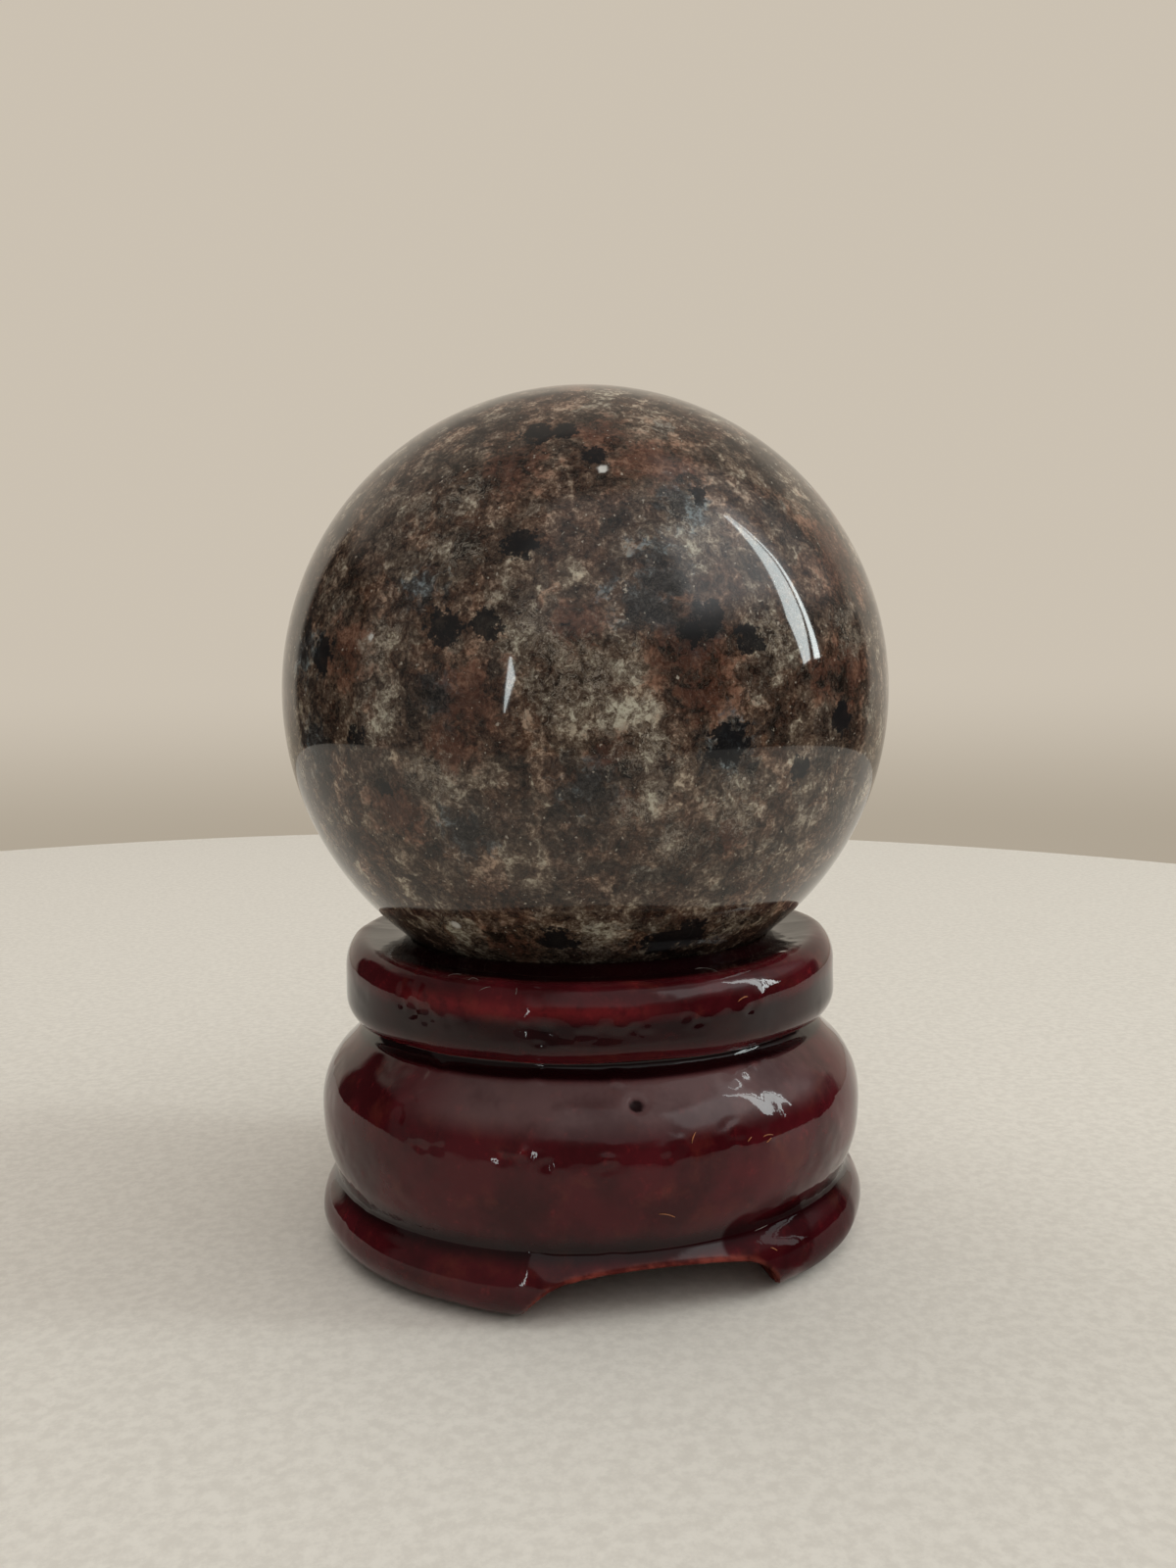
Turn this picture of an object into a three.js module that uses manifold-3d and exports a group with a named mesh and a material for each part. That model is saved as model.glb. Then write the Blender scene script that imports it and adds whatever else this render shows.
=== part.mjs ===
// A polished stone sphere resting in the dished top of a turned, lacquered wooden stand on three feet.
// Millimetres, +Z up. The origin is the centre of the stand's underside, and one foot arch faces -Y.
import * as THREE from "three";
import { mergeVertices } from "three/addons/utils/BufferGeometryUtils.js";
import Module from "manifold-3d";

// Sphere
const SPHERE_RADIUS = 28;
const SPHERE_CENTRE_HEIGHT = 49.7;
const SPHERE_DETAIL = 11;

// Seat: a concave cup that follows the sphere, with a slack so that the two pieces never share material
const SEAT_SLACK = 0.3;
const SEAT_MOUTH_RADIUS = 16.9;

// Collar: the thick rounded ring around the seat
const COLLAR_RADIUS = 22.95;
const COLLAR_TOP = 27.8;
const COLLAR_BAND_TOP = 25.2;
const COLLAR_BAND_BOTTOM = 22.7;
const COLLAR_BOTTOM = 19.75;
const COLLAR_LIP_RADIUS = 21;

// Waist: the narrow groove between the collar and the belly
const WAIST_RADIUS = 19.4;
const WAIST_MOUTH_RADIUS = 19.9;

// Belly: the bulging middle, a quarter ellipse above its widest height and another below
const BELLY_RADIUS = 25.3;
const BELLY_HEIGHT = 12.4;
const BELLY_TOP = 18.5;
const BELLY_SHOULDER_RADIUS = 20.5;
const BELLY_BOTTOM = 6.25;
const BELLY_FOOT_RADIUS = 22.95;

// Foot ring: a rounded moulding below the belly, hollowed underneath
const RING_RADIUS = 25.45;
const RING_HEIGHT = 2.85;
const RING_TOP = 5.85;
const RING_TOP_RADIUS = 23.2;
const RING_GROOVE_RADIUS = 22.7;
const FOOT_OUTER_RADIUS = 22;
const FOOT_INNER_RADIUS = 18.6;
const HOLLOW_RADIUS = 17.8;
const HOLLOW_HEIGHT = 5;

// Arches cut through the foot ring, which leave three feet
const ARCH_COUNT = 3;
const ARCH_HALF_WIDTH = 10.9;
const ARCH_SHOULDER_HALF_WIDTH = 7.6;
const ARCH_SHOULDER_HEIGHT = 4;
const ARCH_CROWN_HEIGHT = 4.85;
const ARCH_RAKE_HALF_WIDTH = 10.4;
const ARCH_RAKE_HEIGHT = 2.8;
const ARCH_BROW_HALF_WIDTH = 4.6;
const ARCH_INNER_REACH = 11;
const ARCH_OUTER_REACH = 30;
const CUT_MARGIN = 1;

// Facets
const TURNED_SEGMENTS = 72;
const SEAT_STEPS = 6;
const ROUND_STEPS = 5;
const ARCH_CURVE_SEGMENTS = 5;
const MERGE_DISTANCE = 1e-4;

const wasm = await Module();
wasm.setup();

// A closed geometry as a solid, with only its positions kept.
function solidFrom(geometry) {
  const bare = geometry.clone();
  bare.deleteAttribute("normal");
  bare.deleteAttribute("uv");
  const merged = mergeVertices(bare, MERGE_DISTANCE);
  return new wasm.Manifold(
    new wasm.Mesh({
      numProp: 3,
      vertProperties: new Float32Array(merged.attributes.position.array),
      triVerts: new Uint32Array(merged.index.array),
    }),
  );
}

// A solid as a geometry that a mesh can hold.
function geometryFrom(solid) {
  const mesh = solid.getMesh();
  const geometry = new THREE.BufferGeometry();
  geometry.setAttribute("position", new THREE.BufferAttribute(mesh.vertProperties, 3));
  geometry.setIndex(new THREE.BufferAttribute(mesh.triVerts, 1));
  geometry.computeVertexNormals();
  return geometry;
}

// Points on an elliptical arc of the turned profile: x is the radius, y is the height.
function profileArc(centre, radii, fromDegrees, toDegrees, steps = ROUND_STEPS) {
  return Array.from({ length: steps + 1 }, (_, i) => {
    const angle = THREE.MathUtils.degToRad(THREE.MathUtils.lerp(fromDegrees, toDegrees, i / steps));
    return new THREE.Vector2(centre[0] + radii[0] * Math.cos(angle), centre[1] + radii[1] * Math.sin(angle));
  });
}

// A quarter round that falls from the top of a moulding to its widest point.
function roundDown(topRadius, top, widestRadius, widestHeight) {
  return profileArc([topRadius, widestHeight], [widestRadius - topRadius, top - widestHeight], 90, 0);
}

// A quarter round that turns in from the widest point of a moulding to its foot.
function roundUnder(widestRadius, widestHeight, footRadius, foot) {
  return profileArc([footRadius, widestHeight], [widestRadius - footRadius, widestHeight - foot], 0, -90);
}

function seatProfile() {
  const seatRadius = SPHERE_RADIUS + SEAT_SLACK;
  const centre = [0, SPHERE_CENTRE_HEIGHT];
  const mouthAngle = THREE.MathUtils.radToDeg(Math.asin(SEAT_MOUTH_RADIUS / seatRadius));
  const cup = profileArc(centre, [seatRadius, seatRadius], -90, mouthAngle - 90, SEAT_STEPS);
  cup[0].x = 0;
  return cup;
}

function standProfile() {
  return [
    ...seatProfile(),
    ...roundDown(COLLAR_LIP_RADIUS, COLLAR_TOP, COLLAR_RADIUS, COLLAR_BAND_TOP),
    ...roundUnder(COLLAR_RADIUS, COLLAR_BAND_BOTTOM, WAIST_MOUTH_RADIUS, COLLAR_BOTTOM),
    new THREE.Vector2(WAIST_RADIUS, COLLAR_BOTTOM),
    new THREE.Vector2(WAIST_RADIUS, BELLY_TOP),
    ...roundDown(BELLY_SHOULDER_RADIUS, BELLY_TOP, BELLY_RADIUS, BELLY_HEIGHT),
    ...roundUnder(BELLY_RADIUS, BELLY_HEIGHT, BELLY_FOOT_RADIUS, BELLY_BOTTOM).slice(1),
    new THREE.Vector2(RING_GROOVE_RADIUS, (BELLY_BOTTOM + RING_TOP) / 2),
    ...roundDown(RING_TOP_RADIUS, RING_TOP, RING_RADIUS, RING_HEIGHT),
    ...roundUnder(RING_RADIUS, RING_HEIGHT, FOOT_OUTER_RADIUS, 0).slice(1),
    new THREE.Vector2(FOOT_INNER_RADIUS, 0),
    new THREE.Vector2(HOLLOW_RADIUS, HOLLOW_HEIGHT),
    new THREE.Vector2(0, HOLLOW_HEIGHT),
  ];
}

// The turned body stands upright, and its profile runs up from the underside so that its faces point out.
function turnedBody() {
  const body = new THREE.LatheGeometry(standProfile().reverse(), TURNED_SEGMENTS);
  body.rotateX(Math.PI / 2);
  return solidFrom(body);
}

// One arch as a cutter through the foot ring at -Y: raking ends, soft shoulders and a low crown.
function archCutter() {
  const rise = new THREE.Shape();
  rise.moveTo(-ARCH_HALF_WIDTH, -CUT_MARGIN);
  rise.lineTo(ARCH_HALF_WIDTH, -CUT_MARGIN);
  rise.lineTo(ARCH_HALF_WIDTH, 0);
  for (const side of [1, -1]) {
    const shoulder = [side * ARCH_SHOULDER_HALF_WIDTH, ARCH_SHOULDER_HEIGHT];
    const foot = [side * ARCH_HALF_WIDTH, 0];
    const rake = [side * ARCH_RAKE_HALF_WIDTH, ARCH_RAKE_HEIGHT];
    const brow = [side * ARCH_BROW_HALF_WIDTH, ARCH_CROWN_HEIGHT];
    if (side > 0) {
      rise.quadraticCurveTo(...rake, ...shoulder);
      rise.quadraticCurveTo(...brow, 0, ARCH_CROWN_HEIGHT);
    } else {
      rise.quadraticCurveTo(...brow, ...shoulder);
      rise.quadraticCurveTo(...rake, ...foot);
    }
  }
  const cutter = new THREE.ExtrudeGeometry(rise, {
    depth: ARCH_OUTER_REACH - ARCH_INNER_REACH,
    curveSegments: ARCH_CURVE_SEGMENTS,
    bevelEnabled: false,
  });
  cutter.rotateX(Math.PI / 2);
  cutter.translate(0, -ARCH_INNER_REACH, 0);
  return cutter;
}

function standGeometry() {
  let stand = turnedBody();
  for (let i = 0; i < ARCH_COUNT; i++) {
    const cutter = archCutter().rotateZ((i * 2 * Math.PI) / ARCH_COUNT);
    stand = stand.subtract(solidFrom(cutter));
  }
  return geometryFrom(stand);
}

function sphereGeometry() {
  return new THREE.IcosahedronGeometry(SPHERE_RADIUS, SPHERE_DETAIL);
}

const stoneMaterial = new THREE.MeshStandardMaterial({ color: 0x4b4440, roughness: 0.1, metalness: 0 });
const lacquerMaterial = new THREE.MeshStandardMaterial({ color: 0x3a1215, roughness: 0.15, metalness: 0 });

const sphere = new THREE.Mesh(sphereGeometry(), stoneMaterial);
sphere.name = "stone_sphere";
sphere.position.z = SPHERE_CENTRE_HEIGHT;

const stand = new THREE.Mesh(standGeometry(), lacquerMaterial);
stand.name = "wooden_stand";

const ornament = new THREE.Group();
ornament.name = "sphere_on_stand";
ornament.add(stand, sphere);

export default ornament;
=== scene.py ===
"""A polished stone sphere on a turned, lacquered wooden stand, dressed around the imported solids."""

import math

import bpy
import numpy as np
from mathutils import Matrix, Vector, noise
from mathutils.bvhtree import BVHTree


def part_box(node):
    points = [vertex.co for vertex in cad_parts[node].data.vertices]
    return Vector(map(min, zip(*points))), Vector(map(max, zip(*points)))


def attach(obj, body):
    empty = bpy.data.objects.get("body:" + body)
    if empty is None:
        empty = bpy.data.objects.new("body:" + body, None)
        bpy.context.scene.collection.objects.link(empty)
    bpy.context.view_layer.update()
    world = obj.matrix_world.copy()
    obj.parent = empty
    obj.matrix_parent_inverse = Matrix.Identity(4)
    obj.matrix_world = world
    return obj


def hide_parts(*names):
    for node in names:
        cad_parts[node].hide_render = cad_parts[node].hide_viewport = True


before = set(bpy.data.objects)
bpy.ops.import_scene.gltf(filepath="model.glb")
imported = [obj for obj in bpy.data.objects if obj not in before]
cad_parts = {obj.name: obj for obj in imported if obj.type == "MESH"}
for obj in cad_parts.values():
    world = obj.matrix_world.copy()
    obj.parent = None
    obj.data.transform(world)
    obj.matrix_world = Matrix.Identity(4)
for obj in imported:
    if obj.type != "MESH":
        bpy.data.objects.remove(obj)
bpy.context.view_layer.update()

# All lengths below are in millimetres, unless a name says otherwise
MM = 0.001
SEED = 11


def smoothstep(low, high, value):
    t = np.clip((value - low) / (high - low), 0.0, 1.0)
    return t * t * (3 - 2 * t)


def unit(vector):
    return vector / np.linalg.norm(vector)


# Camera, as fitted to the outlines in the photograph, with its angles in radians

IMAGE_WIDTH = 1200
IMAGE_HEIGHT = 1600
FOCAL_PIXELS = 1324.5
SENSOR = 36.0
CAMERA_DISTANCE = 123.2
CAMERA_HEIGHT = 49.0
CAMERA_AZIMUTH = math.radians(-12.7)
CAMERA_PITCH = 0.064
CAMERA_ROLL = 0.0141
CAMERA_YAW = 0.001
NEAREST_SEEN = 5.0
FARTHEST_SEEN = 20000.0


def toward_camera(azimuth, elevation=0.0):
    """A direction in degrees, with azimuth zero at the camera's side and growing to its right hand."""
    turned = CAMERA_AZIMUTH + math.radians(azimuth)
    raised = math.radians(elevation)
    level = math.cos(raised)
    return Vector((math.sin(turned) * level, -math.cos(turned) * level, math.sin(raised)))


def make_camera():
    data = bpy.data.cameras.new("photo_camera")
    data.sensor_width = SENSOR
    data.lens = FOCAL_PIXELS / IMAGE_HEIGHT * SENSOR
    data.clip_start = NEAREST_SEEN * MM
    data.clip_end = FARTHEST_SEEN * MM
    camera = bpy.data.objects.new("photo_camera", data)
    place = toward_camera(0) * CAMERA_DISTANCE
    place.z = CAMERA_HEIGHT
    turn = (
        Matrix.Rotation(CAMERA_AZIMUTH - CAMERA_YAW, 4, "Z")
        @ Matrix.Rotation(math.pi / 2 - CAMERA_PITCH, 4, "X")
        @ Matrix.Rotation(-CAMERA_ROLL, 4, "Z")
    )
    camera.matrix_world = Matrix.Translation(place * MM) @ turn
    bpy.context.scene.collection.objects.link(camera)
    bpy.context.scene.camera = camera
    return camera


def sight(camera, pixel_x, pixel_y):
    """The eye and the unit direction of the photograph's pixel."""
    across = (pixel_x - IMAGE_WIDTH / 2) / FOCAL_PIXELS
    up = (IMAGE_HEIGHT / 2 - pixel_y) / FOCAL_PIXELS
    ray = camera.matrix_world.to_3x3() @ Vector((across, up, -1))
    return np.array(camera.matrix_world.translation) / MM, unit(np.array(ray))


# Meshes

NOISE_SHIFT = (17.3, 5.1, 9.7)


def mesh_object(name, points, faces):
    mesh = bpy.data.meshes.new(name)
    mesh.from_pydata((np.asarray(points) * MM).tolist(), [], faces)
    mesh.shade_smooth()
    piece = bpy.data.objects.new(name, mesh)
    bpy.context.scene.collection.objects.link(piece)
    return piece


def vertex_values(piece, key):
    flat = np.empty(len(piece.data.vertices) * 3)
    piece.data.vertices.foreach_get(key, flat)
    return flat.reshape(-1, 3)


def places(piece):
    return vertex_values(piece, "co") / MM


def move(piece, points):
    piece.data.vertices.foreach_set("co", (points * MM).ravel())
    piece.data.update()


def paint(piece, name, values):
    """A value at each point of the mesh, which a material can read."""
    layer = piece.data.attributes.new(name, "FLOAT", "POINT")
    layer.data.foreach_set("value", np.asarray(values, dtype=np.float32))


def axis_distance(points):
    """How far each point is from the stand's axis."""
    return np.hypot(points[:, 0], points[:, 1])


def noise_field(points, size, seed):
    """Smooth noise around zero; each seed gives another pattern."""
    shift = Vector([seed * part for part in NOISE_SHIFT])
    return np.array([noise.noise(Vector(p) / size + shift) for p in points])


class Surface:
    """A mesh that can be touched along a line of sight or at its nearest point."""

    def __init__(self, piece):
        faces = [tuple(face.vertices) for face in piece.data.polygons]
        self.tree = BVHTree.FromPolygons(places(piece).tolist(), faces)

    def seen(self, camera, pixel_x, pixel_y):
        eye, ray = sight(camera, pixel_x, pixel_y)
        return np.array(self.tree.ray_cast(Vector(eye), Vector(ray))[0])

    def nearest(self, point):
        """The nearest point of the surface and the direction out of it."""
        place, normal = self.tree.find_nearest(Vector(point))[:2]
        return np.array(place), np.array(normal)


# Stone sphere

SPHERE_LOW, SPHERE_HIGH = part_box("stone_sphere")
SPHERE_CENTRE = np.array((SPHERE_LOW + SPHERE_HIGH) / 2) / MM
SPHERE_RADIUS = (SPHERE_HIGH.z - SPHERE_LOW.z) / 2 / MM
SPHERE_CELLS = 120
SPHERE_PIXEL_Y = 702
WELD_DIGITS = 7


def cube_sphere(cells):
    """Unit directions on a sphere in six even grids with welded seams, and the quads between them."""
    ticks = np.tan(np.linspace(-math.pi / 4, math.pi / 4, cells + 1))
    u, v = np.meshgrid(ticks, ticks, indexing="ij")
    one = np.ones_like(u)
    sides = [(one, u, v), (-one, -u, v), (-u, one, v), (u, -one, v), (-v, u, one), (v, u, -one)]
    points = np.concatenate([np.stack(side, axis=-1).reshape(-1, 3) for side in sides])
    points /= np.linalg.norm(points, axis=1, keepdims=True)
    row = np.arange(cells)
    first = (row[:, None] * (cells + 1) + row[None, :]).ravel()
    quad = np.stack([first, first + cells + 1, first + cells + 2, first + 1], axis=1)
    quads = np.concatenate([quad + k * (cells + 1) ** 2 for k in range(len(sides))])
    rounded = np.round(points, WELD_DIGITS)
    _, keep, weld = np.unique(rounded, axis=0, return_index=True, return_inverse=True)
    return points[keep], weld.ravel()[quads]


def make_sphere():
    directions, quads = cube_sphere(SPHERE_CELLS)
    points = SPHERE_CENTRE + directions * SPHERE_RADIUS
    return mesh_object("polished_sphere", points, quads.tolist())


def on_sphere(camera, pixel_x, pixel_y):
    """Where the photograph's pixel falls on the sphere, as a unit direction from its centre."""
    eye, ray = sight(camera, pixel_x, pixel_y)
    eye = eye - SPHERE_CENTRE
    half = eye @ ray
    reach = -half - math.sqrt(max(half**2 - eye @ eye + SPHERE_RADIUS**2, 0))
    return unit(eye + reach * ray)


def mirrored(camera, pixel_x, pixel_y):
    """Where the sphere's surface at a pixel is, and the direction that it mirrors to the camera."""
    _, ray = sight(camera, pixel_x, pixel_y)
    normal = on_sphere(camera, pixel_x, pixel_y)
    return SPHERE_CENTRE + normal * SPHERE_RADIUS, ray - 2 * (ray @ normal) * normal


# Wooden stand: the solid's profile, with corners rounded and grooves filled as thick lacquer does

SEAT_SLACK = 0.05
SEAT_MOUTH_RADIUS = 16.9
COLLAR_RADIUS = 22.95
COLLAR_TOP = 27.8
COLLAR_BAND_TOP = 25.3
COLLAR_BAND_BOTTOM = 22.5
COLLAR_BOTTOM = 19.95
COLLAR_LIP_RADIUS = 21.2
COLLAR_UNDER_RADIUS = 20.9
COLLAR_CORNER_ANGLE = -62
WAIST = (20.75, 20.1)
WAIST_FILLET = (20.8, 19.2)
BELLY_RADIUS = 25.3
BELLY_HEIGHT = 12.4
BELLY_TOP = 18.5
BELLY_SHOULDER_RADIUS = 20.5
BELLY_SHOULDER = (21.75, 18.82)
BELLY_SHOULDER_ANGLE = 53
BELLY_BOTTOM = 6.25
BELLY_FOOT_RADIUS = 22.95
BELLY_FOOT_ANGLE = -50
BELLY_FILLET = (23.95, 6.57)
RING_RADIUS = 25.45
RING_HEIGHT = 2.85
RING_TOP = 5.85
RING_TOP_RADIUS = 23.2
RING_TOP_ANGLE = 50
RING_FILLET = (23.95, 5.93)
RING_GROOVE = (23.95, 6.25)
FOOT_OUTER_RADIUS = 22.0
FOOT_INNER_RADIUS = 18.6
HOLLOW_RADIUS = 17.8
HOLLOW_HEIGHT = 5.0
ARCH_COUNT = 3
ARCH_HALF_WIDTH = 10.9
ARCH_SHOULDER_HALF_WIDTH = 7.6
ARCH_SHOULDER_HEIGHT = 4.0
ARCH_CROWN_HEIGHT = 4.85
ARCH_RAKE_HALF_WIDTH = 10.4
ARCH_RAKE_HEIGHT = 2.8
ARCH_BROW_HALF_WIDTH = 4.6
NO_ARCH = -1.0

STAND_COLUMNS = 432
SEAT_ROWS = 8
BODY_ROWS = 164
FOOT_ROWS = 52
ARC_STEPS = 24
FOOT_SAMPLES = 400
EDGE_SOFTNESS = 0.18
PROFILE_STEP = 0.05
SOFTEN_REACH = 3
CEILING_SHARE = 0.15


def arc(centre, radii, start, end):
    """Points of radius and height on part of an ellipse, between two angles in degrees."""
    angles = np.radians(np.linspace(start, end, ARC_STEPS + 1))
    turns = np.stack([np.cos(angles), np.sin(angles)], axis=1)
    return np.array(centre) + np.array(radii) * turns


def round_down(top_radius, top, widest_radius, widest_height, start=90):
    return arc((top_radius, widest_height), (widest_radius - top_radius, top - widest_height), start, 0)


def round_under(widest_radius, widest_height, foot_radius, foot, end=-90):
    return arc((foot_radius, widest_height), (widest_radius - foot_radius, widest_height - foot), 0, end)


def resample(line, count, inner_share=1.0):
    """The same line with evenly spaced points, or sparser ones inside the hollow's wall."""
    steps = np.linalg.norm(np.diff(line, axis=0), axis=1)
    steps = np.where(line[1:, 0] < HOLLOW_RADIUS, steps * inner_share, steps)
    along = np.concatenate([[0.0], np.cumsum(steps)])
    even = np.linspace(0.0, along[-1], count)
    return np.stack([np.interp(even, along, line[:, k]) for k in range(2)], axis=1)


def soften(line, radius):
    """The line with its corners rounded; its ends stay."""
    length = np.linalg.norm(np.diff(line, axis=0), axis=1).sum()
    dense = resample(line, int(length / PROFILE_STEP) + 2)
    reach = int(SOFTEN_REACH * radius / PROFILE_STEP)
    weights = np.exp(-0.5 * (np.arange(-reach, reach + 1) * PROFILE_STEP / radius) ** 2)
    weights /= weights.sum()
    before = 2 * dense[0] - dense[reach:0:-1]
    after = 2 * dense[-1] - dense[-2 : -reach - 2 : -1]
    padded = np.concatenate([before, dense, after])
    return np.stack([np.convolve(padded[:, k], weights, mode="valid") for k in range(2)], axis=1)


def seat_line():
    seat = SPHERE_RADIUS + SEAT_SLACK
    mouth = math.degrees(math.asin(SEAT_MOUTH_RADIUS / seat))
    return arc((0, SPHERE_CENTRE[2]), (seat, seat), -90, mouth - 90)


def bezier(start, control, end, steps=ARC_STEPS):
    t = np.linspace(0, 1, steps + 1)[:, None]
    return (1 - t) ** 2 * np.array(start) + 2 * t * (1 - t) * np.array(control) + t**2 * np.array(end)


def body_line():
    """From the mouth of the seat over the collar, waist and belly to the groove above the foot ring."""
    collar_under = round_under(
        COLLAR_RADIUS, COLLAR_BAND_BOTTOM, COLLAR_UNDER_RADIUS, COLLAR_BOTTOM, COLLAR_CORNER_ANGLE
    )
    shoulder = round_down(
        BELLY_SHOULDER_RADIUS, BELLY_TOP, BELLY_RADIUS, BELLY_HEIGHT, BELLY_SHOULDER_ANGLE
    )
    under = round_under(BELLY_RADIUS, BELLY_HEIGHT, BELLY_FOOT_RADIUS, BELLY_BOTTOM, BELLY_FOOT_ANGLE)
    return np.concatenate([
        seat_line()[-1:],
        round_down(COLLAR_LIP_RADIUS, COLLAR_TOP, COLLAR_RADIUS, COLLAR_BAND_TOP),
        collar_under,
        bezier(WAIST, WAIST_FILLET, BELLY_SHOULDER),
        shoulder,
        under[:-1],
        bezier(under[-1], BELLY_FILLET, RING_GROOVE),
    ])


def arch_height(lateral):
    """Height of the cut at a distance from an arch's middle, and below zero beyond its ends."""
    shoulder = (ARCH_SHOULDER_HALF_WIDTH, ARCH_SHOULDER_HEIGHT)
    crown = bezier((0, ARCH_CROWN_HEIGHT), (ARCH_BROW_HALF_WIDTH, ARCH_CROWN_HEIGHT), shoulder)
    rake = bezier(shoulder, (ARCH_RAKE_HALF_WIDTH, ARCH_RAKE_HEIGHT), (ARCH_HALF_WIDTH, 0))
    edge = np.concatenate([crown, rake[1:]])
    return np.interp(np.abs(lateral), edge[:, 0], edge[:, 1], right=NO_ARCH)


def from_arch(angle):
    """The angle from the middle of the nearest arch."""
    pitch = 2 * math.pi / ARCH_COUNT
    return (angle + pitch / 2) % pitch - pitch / 2


def foot_line(angle):
    """From the groove over the foot ring into the hollow, at an angle from an arch's middle."""
    outside = round_down(RING_TOP_RADIUS, RING_TOP, RING_RADIUS, RING_HEIGHT, RING_TOP_ANGLE)
    fillet = bezier(RING_GROOVE, RING_FILLET, outside[0])[1:]
    under = round_under(RING_RADIUS, RING_HEIGHT, FOOT_OUTER_RADIUS, 0)
    under = np.concatenate([under, [(FOOT_INNER_RADIUS, 0), (HOLLOW_RADIUS, HOLLOW_HEIGHT)]])
    line = resample(np.concatenate([fillet, outside, under]), FOOT_SAMPLES)
    below = np.nonzero(line[:, 1] < arch_height(line[:, 0] * math.sin(angle)))[0]
    if len(below):
        first = below[0]
        inward = line[first:]
        inward = inward[inward[:, 0] <= line[first, 0]]
        lifted = np.maximum(inward[:, 1], arch_height(inward[:, 0] * math.sin(angle)))
        line = np.concatenate([line[:first], np.stack([inward[:, 0], lifted], axis=1)])
    return np.concatenate([[RING_GROOVE], line, [(0, HOLLOW_HEIGHT)]])


def stand_grid():
    """Radius and height of every point, by column around the stand and by row from seat to hollow."""
    seat = resample(seat_line(), SEAT_ROWS)[:-1]
    body = resample(soften(body_line(), EDGE_SOFTNESS), BODY_ROWS)[:-1]
    angles = np.arange(STAND_COLUMNS) * 2 * math.pi / STAND_COLUMNS
    columns = []
    for angle in angles:
        foot = resample(soften(foot_line(from_arch(angle)), EDGE_SOFTNESS), FOOT_ROWS, CEILING_SHARE)
        columns.append(np.concatenate([seat, body, foot]))
    return angles, np.array(columns)


def make_stand():
    angles, grid = stand_grid()
    radius, height = grid[:, 1:-1, 0], grid[:, 1:-1, 1]
    x = radius * np.sin(angles)[:, None]
    y = -radius * np.cos(angles)[:, None]
    ring = np.stack([x, y, height], axis=-1).reshape(-1, 3)
    seat_pole = [0, 0, grid[0, 0, 1]]
    hollow_pole = [0, 0, grid[0, -1, 1]]
    points = np.concatenate([ring, [seat_pole, hollow_pole]])
    inner = radius.shape[1]
    faces = []
    for column in range(STAND_COLUMNS):
        here = column * inner
        there = (column + 1) % STAND_COLUMNS * inner
        faces.append((len(ring), here, there))
        faces.extend((here + k, here + k + 1, there + k + 1, there + k) for k in range(inner - 1))
        faces.append((here + inner - 1, len(ring) + 1, there + inner - 1))
    return mesh_object("lacquered_stand", points, faces)


# Node graphs

NOISE_MIDDLE = 0.5


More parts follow.
